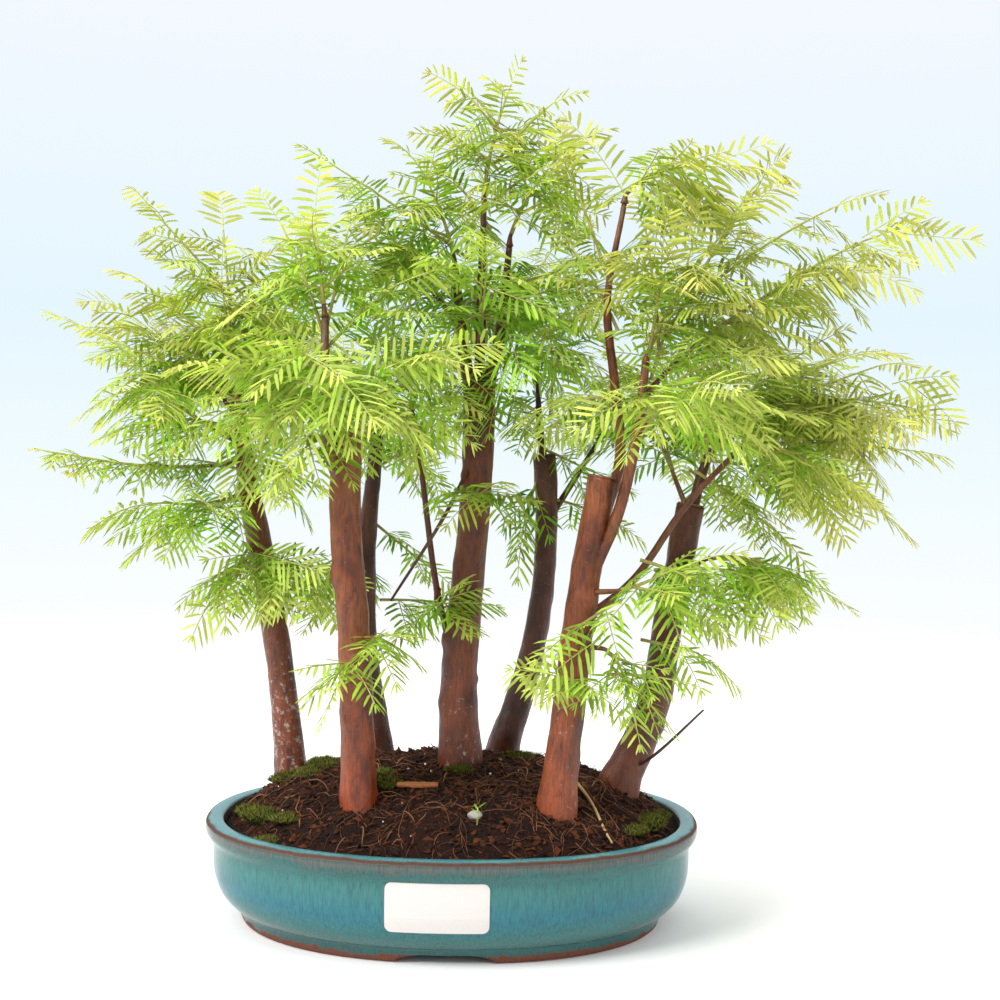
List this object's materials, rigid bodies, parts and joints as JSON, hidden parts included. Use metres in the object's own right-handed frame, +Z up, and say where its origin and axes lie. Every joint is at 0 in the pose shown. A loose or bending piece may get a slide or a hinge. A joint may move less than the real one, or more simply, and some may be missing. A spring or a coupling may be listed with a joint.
{
  "type": "dawn redwood bonsai forest",
  "caption": "Grove of dawn redwood bonsai trees with feathery fronds, growing from mossy soil in a shallow oval turquoise glazed pot.",
  "frame": {"origin": "the middle of the whole plant's outline, on the plane that the pot's feet stand on", "axes": "+Z up, +X along the pot's length to the right as seen from the front, -Y out of the front"},
  "size_m": [0.5378, 0.296, 0.4962],
  "materials": {
    "glaze": "turquoise stoneware glaze over a brown foot",
    "earth": "moist dark fibrous potting soil",
    "bark": "reddish brown peeling bark",
    "leaf": "living thin leaflets, half matt, light shining through",
    "moss": "living moss, matt",
    "stone": "pale rough stone",
    "dry_wood": "dry wood and straw",
    "paper": "blank white paper, half matt",
    "plastic_mesh": "black plastic mesh"
  },
  "bodies": {
    "root": {"drain_screen_left": "plastic_mesh", "drain_screen_right": "plastic_mesh", "label": "paper", "moss_by_trunk": "moss", "moss_left": "moss", "moss_right": "moss", "pebble": "stone", "pot": "glaze", "shoot_t1_back": "leaf", "shoot_t1_back_left": "leaf", "shoot_t1_far_left": "leaf", "shoot_t1_hang": "leaf", "shoot_t1_hang_right": "leaf", "shoot_t1_leader": "leaf", "shoot_t1_left": "leaf", "shoot_t1_low": "leaf", "shoot_t1_upper_left": "leaf", "shoot_t2_front": "leaf", "shoot_t2_leader": "leaf", "shoot_t2_left": "leaf", "shoot_t2_right": "leaf", "shoot_t2_small": "leaf", "shoot_t2_small_right": "leaf", "shoot_t3_back": "leaf", "shoot_t3_low": "leaf", "shoot_t3_top": "leaf", "shoot_t4_back": "leaf", "shoot_t4_far_left": "leaf", "shoot_t4_front": "leaf", "shoot_t4_left_up": "leaf", "shoot_t4_low": "leaf", "shoot_t4_mid": "leaf", "shoot_t4_right_back": "leaf", "shoot_t4_right_up": "leaf", "shoot_t4_top": "leaf", "shoot_t5_right": "leaf", "shoot_t5_top": "leaf", "shoot_t6_bare_top": "leaf", "shoot_t6_diagonal": "leaf", "shoot_t6_diagonal_right": "leaf", "shoot_t6_front": "leaf", "shoot_t6_low_right": "leaf", "shoot_t6_mid_right": "leaf", "shoot_t6_small": "leaf", "shoot_t7_back": "leaf", "shoot_t7_back_left": "leaf", "shoot_t7_low_right": "leaf", "shoot_t7_lower": "leaf", "shoot_t7_right": "leaf", "shoot_t7_upper_right": "leaf", "soil": "earth", "straw": "dry_wood", "trunk_1": "bark", "trunk_2": "bark", "trunk_3": "bark", "trunk_4": "bark", "trunk_5": "bark", "trunk_6": "bark", "trunk_7": "bark", "wood_chip": "dry_wood"}
  },
  "joints": []
}
